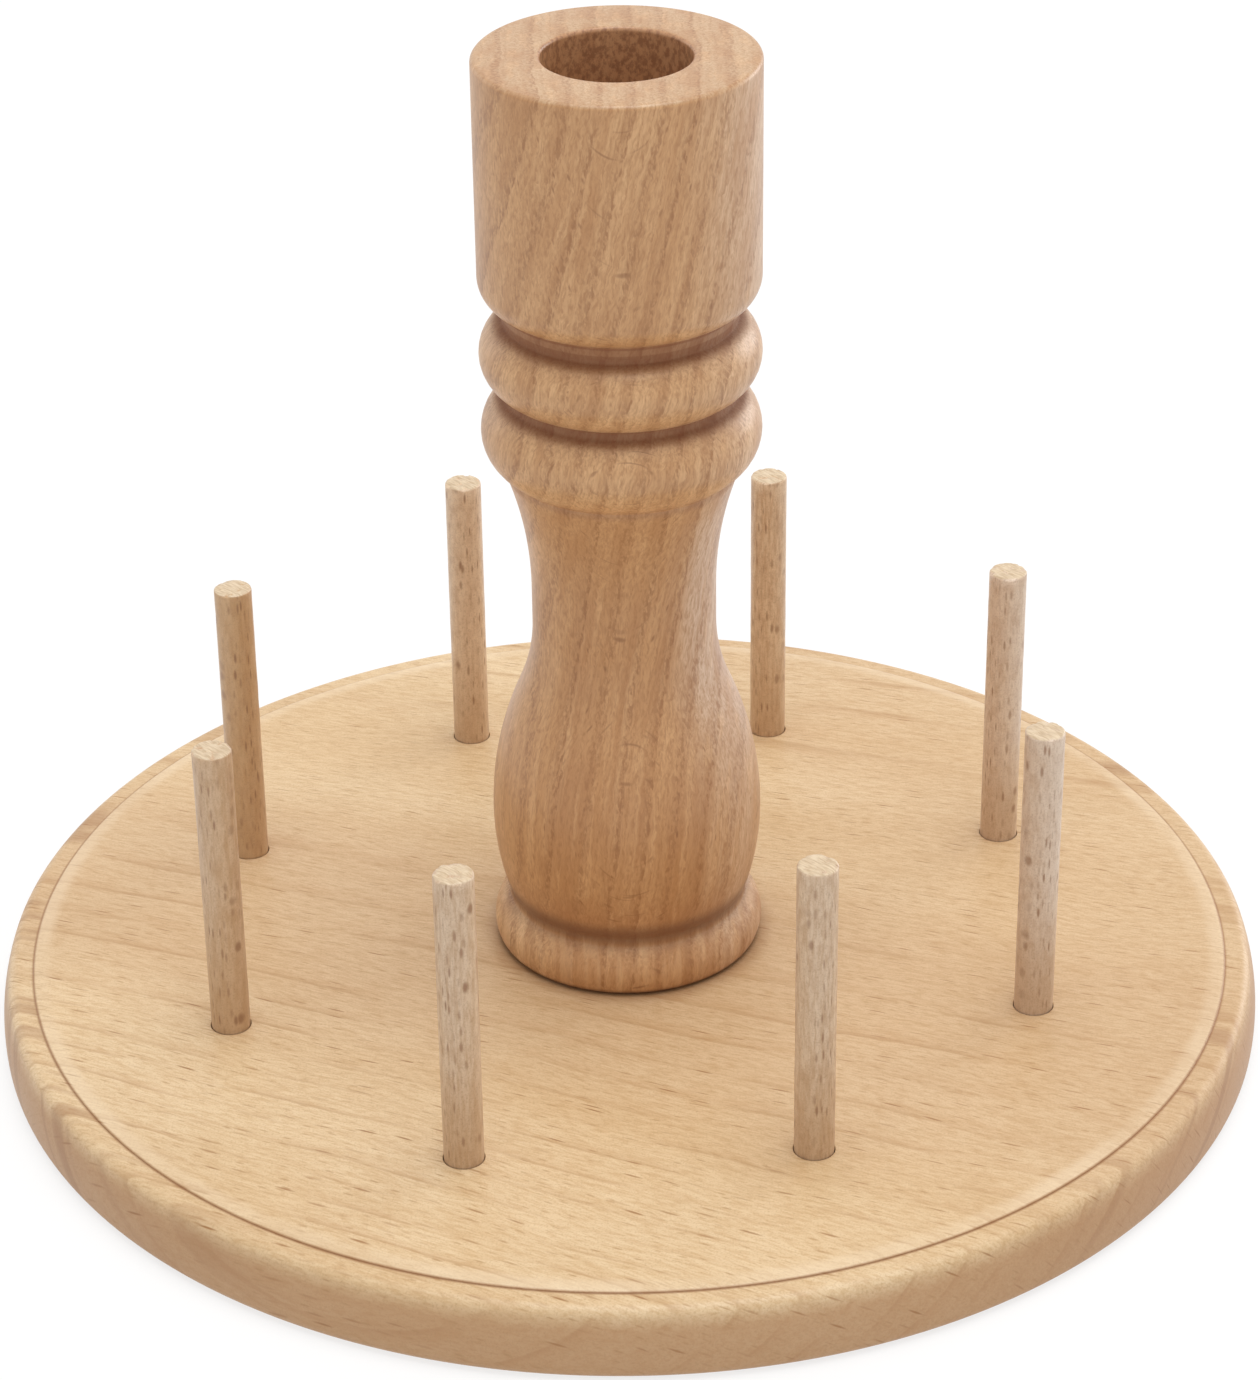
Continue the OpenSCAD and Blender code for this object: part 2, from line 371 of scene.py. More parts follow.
def column_beech():
    """Darker, pinker beech with upright grain that leans to the right as it climbs."""
    f = Beech("column_beech", PLATE_TOP)
    x, y, z = f.place
    lean, bow, tilt, sheet_tilt = 0.09, 0.0006, 0.12, 0.2
    ring_gap, fine_gap = 4.7, 1.3
    warp = f.cloud(14, 14, 45, 1.0) - 0.5
    jag = f.cloud(1.4, 1.4, 2.4) - 0.5
    f.grain(z, y - tilt * z + 1.2 * warp, x - (z * lean + z * z * bow) + 3 * warp + 1.1 * jag)

    # Tone: painted shade low down; painted sheen on the left and right flanks, more on the neck's right and
    # on the foot ring's left; painted light on the beads; paler end grain on the cup's top
    broad = f.noise(f.stretched(60, 14, 9, 2.0), 2.0)
    top = f.step(z, COLUMN_H - 0.6, COLUMN_H - 0.2)
    radial = f.distance(x, y)
    right = f.step(x / radial, 0.35, 0.95) * (1 - top)
    left = f.step(x / radial, -0.5, -0.95) * (1 - top)
    neck = f.between(z, (35, 50), (NECK_TOP_Z - 8, NECK_TOP_Z + 2))
    beads = f.between(z, (NECK_TOP_Z - 2, NECK_TOP_Z + 2), (CUP_Z - 2, CUP_Z + 2))
    f.colour = f.mixed(f.step(broad, 0.3, 0.7), tint(220, 174, 126), tint(206, 157, 109))
    f.stain(f.step(z, 62, 25) * 0.4, 183, 130, 79)
    f.stain(right * 0.7, 220, 192, 164)
    f.stain(right * neck * 0.45, 230, 210, 192)
    f.stain(left * 0.42, 222, 175, 122)
    f.stain(left * f.step(z, WAIST_Z, WAIST_Z - 2) * 0.65, 236, 198, 152)
    f.stain(beads * 0.4, 234, 192, 144)
    f.stain(top * 0.6, 202, 178, 146)

    # Stripes, growth rings and fibres
    stripe = f.noise(f.stretched(34, 5, 2.4, 4.0), 2.0)
    bright = f.noise(f.stretched(30, 4, 1.6, 14.0), 2.0)
    ragged = f.streaks(7, 0.6, 3.0)
    torn = f.cloud(0.5, 0.5, 1.3, 2.0, 0.6)
    fine = f.streaks(2.4, 0.3, 2.0, 5.0)
    speck = f.cloud(0.25, 0.25, 1.2, 1.0)
    f.stain(f.step(stripe, 0.4, 0.66) * 0.45, 180, 126, 78)
    f.stain(f.step(bright, 0.5, 0.68) * 0.3, 236, 192, 142)
    f.stain(f.step(ragged, 0.4, 0.7) * 0.4, 184, 134, 88)
    f.stain(f.late_wood(fine_gap, 0.4) * f.step(torn, 0.45, 0.62) * 0.5, 166, 114, 70)
    f.stain(f.late_wood(ring_gap, 0.3) * 0.2, 170, 118, 74)
    f.stain(f.late_wood(ring_gap, 0.6) * f.step(torn, 0.42, 0.62) * 0.5, 146, 96, 56)
    f.stain(f.step(fine, 0.4, 0.7) * 0.5, 172, 122, 78)
    f.stain(f.step(speck, 0.45, 0.8) * 0.2, 156, 106, 66)

    # Rays: short dashes on the sides, and thin sheets that show as arcs in front and behind
    turned = f.step(z, COLUMN_H - 0.1, COLUMN_H - 0.6)
    dash, dash_strength = f.rays((2.4, 0.8, 6), (1.6, 0.2, 3.5), 7.0)
    f.grain(z, y - sheet_tilt * z, x)
    sheet, sheet_strength = f.rays((8, 0.9, 8), (6.5, 0.12, 7))
    facing = f.step(f.math("ABSOLUTE", x), 6, 2) * f.step(z, 12, 16)
    f.stain(dash * dash_strength * turned * 0.7, 144, 96, 58)
    f.stain(sheet * (0.2 + 0.8 * sheet_strength) * facing * turned * 0.75, 136, 88, 52)

    # Burn lines from the turning tool below the beads and in their grooves, widened into painted shadow
    # under the beads and the cup's overhang
    wall = f.between(z, (CUP_Z - 0.2, CUP_Z + 0.4), (CUP_Z + 1.8, CUP_Z + 2.4))
    burn_and_shadow = 0.3 * f.near(z, NECK_TOP_Z, 1.3, 0.2) + 0.75 * wall
    burn_and_shadow = burn_and_shadow + 0.5 * f.near(z, CUP_Z + CUP_GAP + 0.2, 0.6, 0.1)
    for low, high in BURN_AND_SHADOW_BANDS:
        burn_and_shadow = burn_and_shadow + f.between(z, (low - 0.8, low + 0.6), (high, high + 0.7))
    burn_and_shadow_share = f.math("MINIMUM", burn_and_shadow, 1.0)
    f.stain(burn_and_shadow_share * 0.72, 122, 66, 38)

    # Foot: painted shade under the bulb and a painted shadow in the waist, a striped ring, and a dark line
    # of painted contact shadow where it meets the plate
    heel_shade = f.between(z, (WAIST_Z - 0.2, WAIST_Z + 0.8), (WAIST_Z + 0.8, WAIST_Z + 9.8))
    waist_shadow = f.between(z, (WAIST_Z - 2.4, WAIST_Z), (WAIST_Z + 1, WAIST_Z + 3.8))
    foot_ring = f.step(z, WAIST_Z + 0.2, WAIST_Z - 1)
    banding = f.cloud(1.6, 5, 40, 1.0)
    f.stain(heel_shade * 0.3, 150, 92, 52)
    f.stain(foot_ring * f.step(banding, 0.52, 0.68) * 0.32, 160, 110, 68)
    f.stain(foot_ring * f.step(banding, 0.5, 0.36) * 0.22, 232, 192, 146)
    f.stain(waist_shadow * 0.72, 114, 74, 52)
    f.stain(f.step(z, 1.4, 0.2) * 0.8, 110, 70, 42)

    # Rough fibres in the drilled socket
    bore = f.step(radial, SOCKET_R + 0.5, SOCKET_R + 0.2)
    fibre = f.cloud(0.9, 0.9, 1.3, 3.0, 0.7)
    f.stain(bore * 0.7, 200, 148, 106)
    f.stain(bore * f.step(fibre, 0.4, 0.62) * 0.7, 140, 92, 62)

    relief = ragged * 0.4 + fine * 0.4 + speck * 0.3 + bore * fibre
    polish = 0.12 * (1 - burn_and_shadow_share) * (1 - 0.8 * foot_ring)
    roughness = 0.34 + 0.12 * fine + 0.3 * burn_and_shadow_share + 0.15 * foot_ring
    return f.surface(roughness, f.bump(relief, 0.02), IOR=1.5, Coat_Weight=polish, Coat_Roughness=0.3)


def peg_beech():
    """Plain dowel, greyer in front than behind, with short dark flecks and saw-cut ends."""
    f = Beech("peg_beech", PLATE_TOP)
    x, y, z = f.place
    turn = 3 * f.math("ARCTAN2", y, x)
    cosine = f.math("COSINE", turn)
    sine = f.math("SINE", turn)
    f.grain(z, x * cosine + y * sine, y * cosine - x * sine)

    # Tone, which goes by where on the plate the peg stands: painted shade on the pegs to the left and low
    # down on every peg, a painted highlight on the pegs to the right, and paler at the back left
    ragged = f.streaks(4, 0.9, 3.0)
    front = f.step(y, 30, -45)
    light = f.mixed(front, tint(227, 198, 163), tint(225, 200, 172))
    dark = f.mixed(front, tint(205, 170, 134), tint(203, 172, 140))
    f.colour = f.mixed(f.step(ragged, 0.35, 0.7), light, dark)
    f.stain(f.step(x, -40, -60) * (0.55 - 0.3 * front), 191, 148, 96)
    f.stain(f.step(x, 40, 60) * 0.45, 232, 216, 202)
    f.stain(f.step(x, -10, -20) * f.step(y, 45, 60) * 0.4, 240, 216, 188)
    f.stain(f.step(z, 22, 2) * 0.5, 190, 152, 112)

    # Blotches, fibres and flecks
    blotch = f.cloud(1.6, 1.6, 2.2, 3.0, 0.6)
    fine = f.streaks(1.5, 0.25, 2.0, 5.0)
    speck = f.cloud(0.25, 0.25, 0.3, 1.0)
    fleck, strength = f.rays((3.2, 1.2, 3.2), (2.6, 0.7, 2.8))
    f.stain(f.step(blotch, 0.45, 0.7) * 0.35, 186, 148, 112)
    f.stain(f.step(fine, 0.4, 0.75) * 0.2, 176, 140, 104)
    f.stain(f.step(speck, 0.45, 0.8) * 0.3, 156, 118, 86)
    f.stain(fleck * (0.3 + 0.7 * strength) * 0.8, 146, 104, 74)

    # Saw marks over the cut end
    saw = f.noise(f.vector((x + y) / 0.45, (x - y) / 3, 1.0), 2.0)
    end = f.mixed(f.step(saw, 0.3, 0.7), tint(228, 207, 176), tint(198, 172, 138))
    f.colour = f.mixed(f.step(z, PEG_OUT - 0.25, PEG_OUT - 0.1), f.colour, end)

    relief = ragged * 0.4 + fine * 0.4 + speck * 0.3 - fleck * strength * 0.4
    roughness = 0.36 + 0.12 * fine
    return f.surface(roughness, f.bump(relief, 0.04), IOR=1.5, Coat_Weight=0.12, Coat_Roughness=0.35)


def screw_steel():
    """Brushed steel with a bright zinc look."""
    f = Finish("screw_steel")
    brushed = f.cloud(0.15, 0.15, 0.05)
    f.colour = f.mixed(brushed, tint(178, 178, 176), tint(205, 203, 196))
    return f.surface(0.28 + 0.2 * brushed, f.bump(brushed, 0.01), Metallic=1.0)


# Outlines, as points (radius, height) in millimetres
def arc(centre_r, centre_z, radius, start, stop, steps=14):
    """Points along an arc, from one angle to another in degrees."""
    angles = [math.radians(start + (stop - start) * i / steps) for i in range(steps + 1)]
    return [(centre_r + radius * math.cos(a), centre_z + radius * math.sin(a)) for a in angles]


def asin(value):
    """The angle in degrees that has this sine."""
    return math.degrees(math.asin(value))


def eased(points, ease):
    """The outline with each corner rounded by a curve that starts ease away from it.

    Points that coincide become one, bends of fewer degrees than blunt stay as they are, and a
    curve takes up no more of a side than the share most."""
    coincide, blunt, most = 1e-4, 20, 0.45
    points = [Vector(p) for i, p in enumerate(points) if i == 0 or math.dist(p, points[i - 1]) > coincide]
    out = [points[0]]
    for before, corner, after in zip(points, points[1:], points[2:]):
        back, on = before - corner, after - corner
        if math.degrees((-back).angle(on)) < blunt:
            out.append(corner)
            continue
        start = corner + back.normalized() * min(ease, back.length * most)
        stop = corner + on.normalized() * min(ease, on.length * most)
        for t in (0, 0.25, 0.5, 0.75, 1):
            out.append(start * (1 - t) ** 2 + corner * 2 * t * (1 - t) + stop * t ** 2)
    return out + [points[-1]]


def plate_outline():
    """From the screw's recess out under the plate, up the rim and back over the panel."""
    rim_z = PLATE_TOP - QUIRK_DEPTH
    side_cr = PLATE_R - SIDE_R
    shoulder_cz = rim_z - SHOULDER_R
    shoulder_cr = side_cr + math.sqrt((SIDE_R - SHOULDER_R) ** 2 - (shoulder_cz - SIDE_Z) ** 2)
    shoulder_angle = math.degrees(math.atan2(shoulder_cz - SIDE_Z, shoulder_cr - side_cr))
    foot_cr = side_cr + math.sqrt((SIDE_R - FOOT_R) ** 2 - (FOOT_R - SIDE_Z) ** 2)
    foot_angle = math.degrees(math.atan2(FOOT_R - SIDE_Z, foot_cr - side_cr))
    head_z = screw_low.z
    sink_z = head_z + HEAD_R - SHANK_HOLE_R
    steps = 8
    outline = [(RECESS_R, head_z), (RECESS_R, 0)]
    outline += arc(foot_cr, FOOT_R, FOOT_R, -90, foot_angle)
    outline += arc(side_cr, SIDE_Z, SIDE_R, foot_angle, shoulder_angle, steps=24)
    outline += arc(shoulder_cr, shoulder_cz, SHOULDER_R, shoulder_angle, 90)
    outline += [(PANEL_R, rim_z)]
    for turn in (math.pi / 2 * i / steps for i in range(steps + 1)):
        inward = PANEL_ROUND_W * (math.cos(turn) - 1)
        outline += [(PANEL_R + inward, PLATE_TOP + PANEL_ROUND_H * (math.sin(turn) - 1))]
    outline += [(SHANK_HOLE_R, PLATE_TOP), (SHANK_HOLE_R, sink_z), (HEAD_R, head_z), (RECESS_R, head_z)]
    return eased(outline, PLATE_EASE)


def bead(centre_z, height, round_r):
    """The face of a bead, from its lower groove to its upper one."""
    half = asin((height - GROOVE_W) / 2 / round_r)
    return arc(BEAD_R - round_r, centre_z, round_r, -half, half)


def column_outline():
    """From the pilot hole out under the foot, up the turned side and down into the socket."""
    ring_cr = RING_R - RING_ROUND_R
    heel_z = WAIST_Z + HEEL_H
    neck_cr = NECK_R + NECK_LOW_R
    reach = neck_cr - BULB_R
    rise = NECK_Z - BULB_Z
    bulb_top_r = (reach ** 2 + rise ** 2 - NECK_LOW_R ** 2) / (2 * (NECK_LOW_R - reach))
    meet = math.degrees(math.atan2(rise, reach + bulb_top_r))
    flare_z = NECK_Z + NECK_STRAIGHT
    flare_angle = asin((NECK_TOP_Z - flare_z) / NECK_TOP_R)
    socket_z = COLUMN_H - SOCKET_DEPTH
    ring = arc(ring_cr, RING_Z, RING_ROUND_R, -asin((RING_Z - FOOT_EASE_H) / RING_ROUND_R),
               90 - asin((WAIST_R - ring_cr) / RING_ROUND_R))
    outline = [(0, PILOT_DEPTH), (PILOT_R, PILOT_DEPTH), (PILOT_R, 0), (ring[0][0] - FOOT_EASE_W, 0)]
    outline += ring
    outline += [(WAIST_R, WAIST_Z)]
    outline += arc(BULB_R - BULB_LOW_R, BULB_Z, BULB_LOW_R, -asin((BULB_Z - heel_z) / BULB_LOW_R), 0)
    outline += arc(BULB_R - bulb_top_r, BULB_Z, bulb_top_r, 0, meet)
    outline += arc(neck_cr, NECK_Z, NECK_LOW_R, 180 + meet, 180)
    outline += arc(NECK_R + NECK_TOP_R, flare_z, NECK_TOP_R, 180, 180 - flare_angle)
    outline += bead(NECK_TOP_Z + LOWER_BEAD_H / 2, LOWER_BEAD_H, LOWER_BEAD_ROUND_R)
    outline += bead(CUP_Z - UPPER_BEAD_H / 2, UPPER_BEAD_H, UPPER_BEAD_ROUND_R)
    outline += arc(CUP_R - CUP_ROUND_R, CUP_Z + CUP_GAP + CUP_ROUND_R, CUP_ROUND_R, CUP_ROUND_START, 0)
    outline += arc(CUP_R - CUP_EDGE_R, COLUMN_H - CUP_EDGE_R, CUP_EDGE_R, 0, 90, steps=6)
    outline += [(SOCKET_R + SOCKET_CHAMFER, COLUMN_H), (SOCKET_R, COLUMN_H - SOCKET_CHAMFER)]
    outline += [(SOCKET_R, socket_z), (0, socket_z)]
    return [point + Vector((0, PLATE_TOP)) for point in eased(outline, GROOVE_EASE)]


def peg_outline():
    """From the centre of the buried end up the side to the centre of the saw-cut top."""
    end_r = PEG_R - PEG_LEAD
    outline = [(0, -PEG_IN), (end_r - PEG_CHAMFER, -PEG_IN), (end_r, -PEG_IN + PEG_CHAMFER)]
    outline += [(PEG_R, (PEG_OUT - PEG_CHAMFER) * i / PEG_RUNGS) for i in range(PEG_RUNGS + 1)]
    for turn in map(math.radians, (30, 60, 90)):
        inward = PEG_CHAMFER * (1 - math.cos(turn))
        outline += [(PEG_R - inward, PEG_OUT - PEG_CHAMFER * (1 - math.sin(turn)))]
    outline += [(r, PEG_OUT) for r in PEG_END_RINGS]
    return [Vector(p) + Vector((0, PLATE_TOP)) for p in outline]


def hole_outline():
    """The space that a peg hole takes out of the plate, with an eased mouth."""
    bottom, above = PLATE_TOP - PEG_HOLE_DEPTH, PLATE_TOP + 1
    mouth_r = PEG_HOLE_R + PEG_HOLE_EASE
    outline = [(0, bottom), (PEG_HOLE_R, bottom), (PEG_HOLE_R, PLATE_TOP - PEG_HOLE_EASE)]
    outline += [(mouth_r, PLATE_TOP), (mouth_r, above), (0, above)]
    return [Vector(p) for p in outline]


def screw_outline():
    """Countersunk head, plain shank, core and point of the screw."""
    foot, tip = screw_low.z, screw_high.z
    outline = [(0, foot), (HEAD_R, foot), (SHANK_R, foot + HEAD_R - SHANK_R), (SHANK_R, PLATE_TOP)]
    outline += [(CORE_R, PLATE_TOP), (CORE_R, tip - SCREW_TIP), (0, tip)]
    return eased(outline, SCREW_EASE)


# Geometry Nodes trees
def new_tree(name, inputs):
    """A Geometry Nodes tree with a mesh coming in and going out, and the named inputs."""
    tree = bpy.data.node_groups.new(name, "GeometryNodeTree")
    graph = Graph(tree)
    tree.interface.new_socket("Mesh", in_out="INPUT", socket_type="NodeSocketGeometry")
    for label, kind in inputs.items():
        tree.interface.new_socket(label, in_out="INPUT", socket_type="NodeSocket" + kind)
    tree.interface.new_socket("Mesh", in_out="OUTPUT", socket_type="NodeSocketGeometry")
    return graph, graph.node("NodeGroupInput")


def end_tree(graph, mesh, material):
    """Real geometry with its finish on, sent to the tree's output."""
    mesh = graph.node("GeometryNodeRealizeInstances", None, (mesh,))
    mesh = graph.node("GeometryNodeSetMaterial", None, {"Geometry": mesh, "Material": material})
    graph.node("NodeGroupOutput", None, (mesh,))
    return graph.tree


def turned_tree():
    """Turns an outline about the vertical through Centre, as a lathe does.

    Wobble is how far the surface wanders, in patches of the size Patch. It wanders less within
    a millimetre of the axis, where a closed end's facets meet."""
    g, given = new_tree("turned", {"Segments": "Int", "Centre": "Vector", "Wobble": "Float",
                                   "Patch": "Float", "Material": "Material"})
    segments = given.other("Segments")
    count = g.node("GeometryNodeAttributeDomainSize", None, (given,))
    size = {"Size X": 1.0, "Size Y": 1.0, "Vertices X": count, "Vertices Y": segments + 1}
    sheet = g.node("GeometryNodeMeshGrid", None, size)
    i, j, _ = g.parts(g.node("GeometryNodeInputPosition"))
    index = g.math("ROUND", (i + 0.5) * (count - 1))
    angle = g.math("ROUND", (j + 0.5) * segments) * (2 * math.pi) / segments
    place = g.node("GeometryNodeInputPosition")
    sample = {"Geometry": given, "Value": place, "Index": index}
    radius, _, height = g.parts(g.node("GeometryNodeSampleIndex", {"data_type": "FLOAT_VECTOR"}, sample))
    out = g.vector(g.math("COSINE", angle), g.math("SINE", angle), 0.0)
    centred = g.added(g.scaled(out, radius), g.vector(0.0, 0.0, height))
    at = g.added(centred, given.other("Centre"))
    patch = g.noise(g.scaled(at, 1 / given.other("Patch")), 1.0)
    wander = (patch - 0.5) * 2 * given.other("Wobble")
    grip = g.math("MINIMUM", radius / MM, 1.0)
    sideways = g.scaled(out, wander * grip)
    at = g.added(at, g.added(sideways, g.vector(0.0, 0.0, wander * 0.5)))
    mesh = g.node("GeometryNodeSetPosition", None, {"Geometry": sheet, "Position": at})
    mesh = g.node("GeometryNodeMergeByDistance", None, {"Geometry": mesh, "Distance": WELD_DISTANCE})
    mesh = g.node("GeometryNodeSetShadeSmooth", None, {"Geometry": mesh})
    return end_tree(g, mesh, given.other("Material"))


def holes_tree():
    """Cuts a ring of equal holes, each the shape of the Cutter standing on the axis."""
    g, given = new_tree("holes", {"Cutter": "Object", "Count": "Int", "Circle": "Float",
                                  "First Angle": "Float", "Material": "Material"})
    size = {"Vertices": given.other("Count"), "Radius": given.other("Circle")}
    ring = g.node("GeometryNodeMeshCircle", None, size)
    turn = {"Geometry": ring, "Rotation": g.vector(0.0, 0.0, given.other("First Angle"))}
    ring = g.node("GeometryNodeTransform", None, turn)
    cutter = g.node("GeometryNodeObjectInfo", None, {"Object": given.other("Cutter")}, "Geometry")
    holes = g.node("GeometryNodeInstanceOnPoints", None, {"Points": ring, "Instance": cutter})
    holes = g.node("GeometryNodeRealizeInstances", None, (holes,))
    cut = {"Mesh 1": given, "Mesh 2": holes}
    mesh = g.node("GeometryNodeMeshBoolean", {"operation": "DIFFERENCE", "solver": "EXACT"}, cut)
    return end_tree(g, mesh, given.other("Material"))


def thread_tree():
    """Winds a V-shaped ridge round the screw's core, running out at both ends.

    Over the length Point, its last turns draw in to a tenth of the core's radius."""
    g, given = new_tree("thread", {"Start": "Float", "Height": "Float", "Pitch": "Float", "Core": "Float",
                                   "Crest": "Float", "Point": "Float", "Material": "Material"})
    height, core, point = given.other("Height"), given.other("Core"), given.other("Point")
    least = 0.1
    path = {"Resolution": THREAD_FACETS, "Rotations": height / given.other("Pitch"),
            "Start Radius": core, "End Radius": core, "Height": height}
    path = g.node("GeometryNodeCurveSpiral", None, path)
    x, y, z = g.parts(g.node("GeometryNodeInputPosition"))
    narrow = g.math("MINIMUM", (height + point * least - z) / point, 1.0)
    at = g.vector(x * narrow, y * narrow, z + given.other("Start"))
    path = g.node("GeometryNodeSetPosition", None, {"Geometry": path, "Position": at})
    along = g.node("GeometryNodeSplineParameter")
    run_out = g.between(along, (0.0, 0.04), (0.9, 1.0)) * (1 - least) + least
    ridge = {"Resolution": 3, "Radius": given.other("Crest") - core}
    ridge = g.node("GeometryNodeCurvePrimitiveCircle", None, ridge)
    sweep = {"Curve": path, "Profile Curve": ridge, "Scale": run_out, "Fill Caps": True}
    mesh = g.node("GeometryNodeCurveToMesh", None, sweep)
    return end_tree(g, mesh, given.other("Material"))


def apply_tree(piece, tree, values):
    """Runs a tree on a piece with the named values, and leaves the piece a plain mesh."""
    modifier = piece.modifiers.new(tree.name, "NODES")
    modifier.node_group = tree
    for item in tree.interface.items_tree:
        if item.in_out == "INPUT" and item.name in values:
            modifier[item.identifier] = values[item.name]
    evaluated = piece.evaluated_get(bpy.context.evaluated_depsgraph_get())
    mesh = bpy.data.meshes.new_from_object(evaluated)
    piece.modifiers.remove(modifier)
    old = piece.data
    piece.data = mesh
    bpy.data.meshes.remove(old)
    mesh.name = piece.name


# Pieces
def new_piece(name, points=(), edges=()):
    """A new object in the scene, with nothing in its mesh but the points and edges."""
    mesh = bpy.data.meshes.new(name)
    mesh.from_pydata(points, edges, [])
    piece = bpy.data.objects.new(name, mesh)
    bpy.context.scene.collection.objects.link(piece)
    return piece


def tidy_normals(piece, sharp):
    """Points all faces outwards and keeps edges crisp from the sharp angle on, in degrees."""
    shape = bmesh.new()
    shape.from_mesh(piece.data)
    bmesh.ops.dissolve_degenerate(shape, dist=SHORTEST_EDGE, edges=shape.edges)
    bmesh.ops.recalc_face_normals(shape, faces=shape.faces)
    shape.to_mesh(piece.data)
    shape.free()
    piece.data.set_sharp_from_angle(angle=math.radians(sharp))


def turned_piece(name, outline, facets, finish, centre=(0, 0, 0), wobble=0.0, patch=4.0, sharp=CRISP_ANGLE):
    """A piece that is turned from its outline."""
    points = [(r * MM, 0, z * MM) for r, z in outline]
    piece = new_piece(name, points, [(i, i + 1) for i in range(len(points) - 1)])
    values = {"Segments": facets, "Centre": centre, "Wobble": wobble * MM, "Patch": patch * MM,
              "Material": finish}
    apply_tree(piece, TURNED, values)
    tidy_normals(piece, sharp)
    return piece


def make_plate(finish):
    """The plate, which is turned first and then drilled for its pegs."""
    plate = turned_piece("plate", plate_outline(), PLATE_FACETS, finish)
    cutter = turned_piece("peg_hole", hole_outline(), SMALL_FACETS, finish)
    foot = peg_foot(PEGS[0])
    values = {"Cutter": cutter, "Count": len(PEGS), "Circle": foot.length,
              "First Angle": math.atan2(foot.y, foot.x), "Material": finish}
    apply_tree(plate, holes_tree(), values)
    bpy.data.objects.remove(cutter)
    tidy_normals(plate, CRISP_ANGLE)
    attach(plate, "rack")
    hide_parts("base_plate")


def make_column(finish):
    """The column, turned in one piece from foot to cup."""
    column = turned_piece("turned_column", column_outline(), COLUMN_FACETS, finish)
    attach(column, "rack")
    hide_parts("column")


def peg_foot(node):
    """The point on the vertical axis of a peg, level with the origin."""
    low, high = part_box(node)
    return Vector((low.x + high.x, low.y + high.y, 0)) / 2


def tear_end(peg):
    """Breaks small chips out of the edge of the saw cut, and leaves the cut itself a little uneven."""
    top = PLATE_TOP + PEG_OUT
    for vertex in peg.data.vertices:
        place = vertex.co / MM
        share = min(max((place.z - top + TEAR_START) / TEAR_FADE, 0), 1)
        if share:
            torn = noise.noise(place * CHIPS_PER_MM)
            torn += SMALL_CHIP_SHARE * noise.noise(place * SMALL_CHIPS_PER_MM)
            vertex.co.z -= share * min(max(torn * CHIP_DEPTH, 0), TEAR_DEPTH) * MM


def make_peg(node, finish):
    """A peg, which slides out of its hole on a body of its own."""
    peg = turned_piece("spool_" + node, peg_outline(), SMALL_FACETS, finish, peg_foot(node),
                       PEG_WOBBLE, PEG_PATCH, PEG_CRISP_ANGLE)
    tear_end(peg)
    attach(peg, node + "_body")
    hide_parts(node)


def cross_cutter():
    """Two crossed bars that taper inwards, which cut the drive into the screw's head."""
    shape = bmesh.new()
    foot = screw_low.z
    for width, depth in ((CROSS_W, CROSS_T), (CROSS_T, CROSS_W)):
        for vertex in bmesh.ops.create_cube(shape, size=1)["verts"]:
            inner = vertex.co.z > 0
            share = CROSS_TAPER if inner else 1.0
            level = foot + CROSS_DEPTH if inner else foot - 1
            vertex.co = Vector((vertex.co.x * width * share, vertex.co.y * depth * share, level)) * MM
    piece = new_piece("cross")
    shape.to_mesh(piece.data)
    shape.free()
    return piece


def make_screw(finish):
    """The screw, with a cross cut into its head and a thread wound round its core."""
    screw = turned_piece("wood_screw", screw_outline(), SMALL_FACETS, finish)
    cross = cross_cutter()
    cut = screw.modifiers.new("cross", "BOOLEAN")
    cut.object = cross
    cut.use_self = True
    mesh = bpy.data.meshes.new_from_object(screw.evaluated_get(bpy.context.evaluated_depsgraph_get()))
    screw.modifiers.clear()
    screw.data = mesh
    bpy.data.objects.remove(cross)
    thread = new_piece("screw_thread")
    values = {"Start": THREAD_START * MM, "Height": (THREAD_STOP - THREAD_START) * MM,
              "Pitch": THREAD_PITCH * MM, "Core": CORE_R * MM, "Crest": THREAD_R * MM,
              "Point": SCREW_TIP * MM, "Material": finish}
    apply_tree(thread, thread_tree(), values)
    for piece in (screw, thread):
        tidy_normals(piece, CRISP_ANGLE)
        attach(piece, "rack")
    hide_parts("column_screw")


# Camera, floor and light, in metres
CAMERA_LENS = 104.35
SENSOR_LONG_SIDE = 36.0
CAMERA_AIM = Vector((0.64, 0, 55.07)) * MM
CAMERA_DISTANCE = 0.6205
CAMERA_AZIMUTH = math.radians(-1.07)
CAMERA_ELEVATION = math.radians(29.28)
CAMERA_ROLL = math.radians(-0.77)


def make_camera():
    """The camera, set by its aim and its distance, direction and roll about it."""
    data = bpy.data.cameras.new("camera")
    data.sensor_width = SENSOR_LONG_SIDE
    data.lens = CAMERA_LENS
    camera = bpy.data.objects.new("camera", data)
    bpy.context.scene.collection.objects.link(camera)
    flat = math.cos(CAMERA_ELEVATION)
    back = Vector((math.sin(CAMERA_AZIMUTH) * flat, -math.cos(CAMERA_AZIMUTH) * flat,
                   math.sin(CAMERA_ELEVATION)))
    camera.location = CAMERA_AIM + back * CAMERA_DISTANCE
    level = back.to_track_quat("Z", "Y")
    camera.rotation_euler = (level @ Quaternion((0, 0, 1), CAMERA_ROLL)).to_euler()
    bpy.context.scene.camera = camera


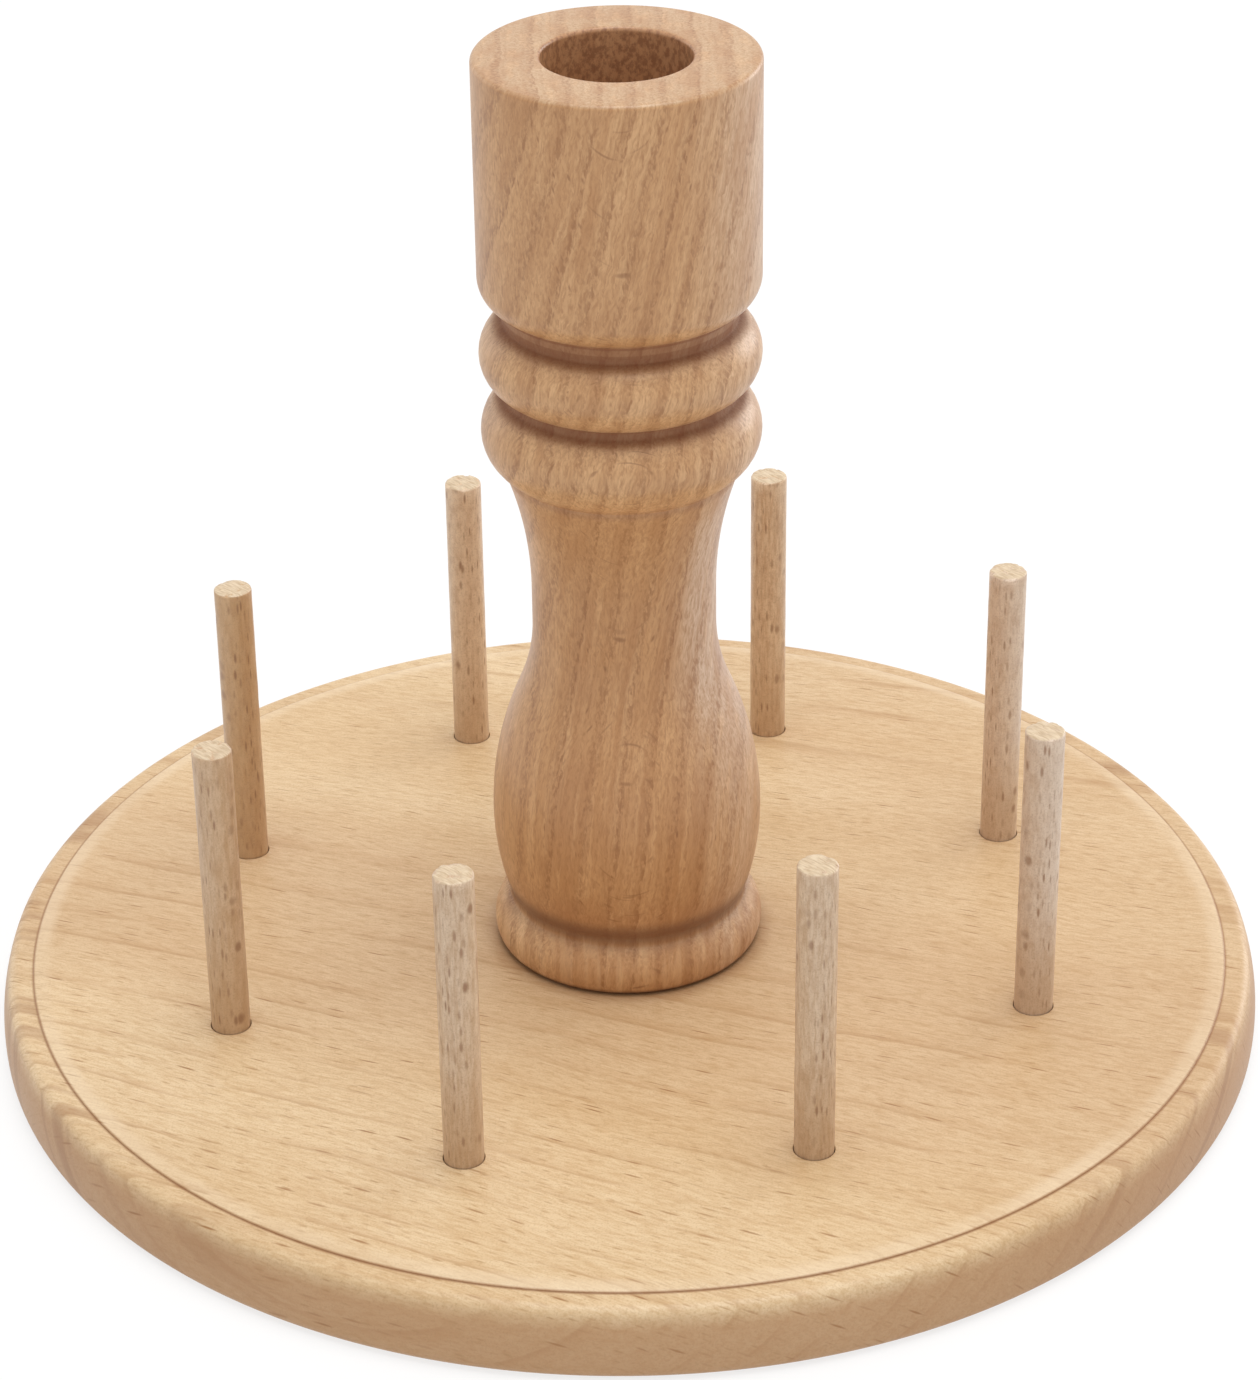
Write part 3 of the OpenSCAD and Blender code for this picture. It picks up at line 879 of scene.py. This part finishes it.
FLOOR_SIZE = 6.0
FLOOR_DROP = 0.05 * MM
FLOOR_GREY = 240
GLOW, GLOW_SHARE = 1.05, 0.72
GLOW_FROM_MM, GLOW_TO_MM = 300, 900
TOUCHING_RAY, FREE_RAY = 0.0002, 0.0004
WORLD_LIGHT = 0.58
LAMP_AIM = Vector((0, 0, 0.06))
WHITE = (1, 1, 1, 1)


def seen(graph):
    """1 for what the camera sees, straight or by a reflection or through glass."""
    path = graph.node("ShaderNodeLightPath")
    rays = path.other("Is Camera Ray") + path.other("Is Glossy Ray") + path.other("Is Transmission Ray")
    return graph.math("MINIMUM", rays, 1.0)


def floor_white():
    """White floor that keeps a light shadow round the object and glows into white further out.

    It isn't there when it is seen from underneath, or by a short ray from what lies on it."""
    f = Finish("floor_white")
    x, y, _ = f.place
    far = f.step(f.distance(x, y), GLOW_FROM_MM, GLOW_TO_MM)
    matt = f.node("ShaderNodeBsdfDiffuse", None, {"Color": tint(FLOOR_GREY, FLOOR_GREY, FLOOR_GREY)})
    glow = f.node("ShaderNodeEmission", None, {"Color": WHITE, "Strength": GLOW})
    share = seen(f) * (GLOW_SHARE + (1 - GLOW_SHARE) * far)
    shown = f.node("ShaderNodeMixShader", None, (share, matt, glow))
    touching = f.step(f.node("ShaderNodeLightPath").other("Ray Length"), FREE_RAY, TOUCHING_RAY)
    hidden = f.math("MAXIMUM", f.node("ShaderNodeNewGeometry").other("Backfacing"), touching)
    clear = f.node("ShaderNodeBsdfTransparent")
    surface = f.node("ShaderNodeMixShader", None, (hidden, shown, clear))
    f.node("ShaderNodeOutputMaterial", None, {"Surface": surface})
    return f.material


def make_floor():
    """A square floor, a hair under the plate."""
    half = FLOOR_SIZE / 2
    floor = new_piece("floor")
    corners = [(x, y, -FLOOR_DROP) for x, y in ((-half, -half), (half, -half), (half, half), (-half, half))]
    floor.data.from_pydata(corners, [], [(0, 1, 2, 3)])
    floor.data.materials.append(floor_white())


def make_world():
    """Soft light from all round, which the camera and reflections see as plain white."""
    world = bpy.data.worlds.new("studio")
    world.use_nodes = True
    bpy.context.scene.world = world
    g = Graph(world.node_tree)
    dim = g.node("ShaderNodeBackground", None, {"Color": WHITE, "Strength": WORLD_LIGHT})
    white = g.node("ShaderNodeBackground", None, {"Color": WHITE, "Strength": 1.0})
    surface = g.node("ShaderNodeMixShader", None, (seen(g), dim, white))
    g.node("ShaderNodeOutputWorld", None, {"Surface": surface})


def softbox(name, at, size, watts):
    """A square lamp that faces the object."""
    data = bpy.data.lights.new(name, "AREA")
    data.size = size
    data.energy = watts
    lamp = bpy.data.objects.new(name, data)
    bpy.context.scene.collection.objects.link(lamp)
    lamp.location = at
    lamp.rotation_euler = (Vector(at) - LAMP_AIM).to_track_quat("Z", "Y").to_euler()


def make_lights():
    """One large lamp overhead, and a low one at either side behind the object."""
    softbox("overhead", (0.15, -0.1, 2.0), size=1.25, watts=22.8)
    softbox("left", (-1.15, 0.95, 0.36), size=0.7, watts=1.2)
    softbox("right", (1.15, 0.95, 0.36), size=0.7, watts=6.0)


make_camera()
TURNED = turned_tree()
make_plate(plate_beech())
make_column(column_beech())
pegs_finish = peg_beech()
for peg_node in PEGS:
    make_peg(peg_node, pegs_finish)
make_screw(screw_steel())
make_floor()
make_world()
make_lights()

bpy.context.scene.view_settings.view_transform = "Standard"
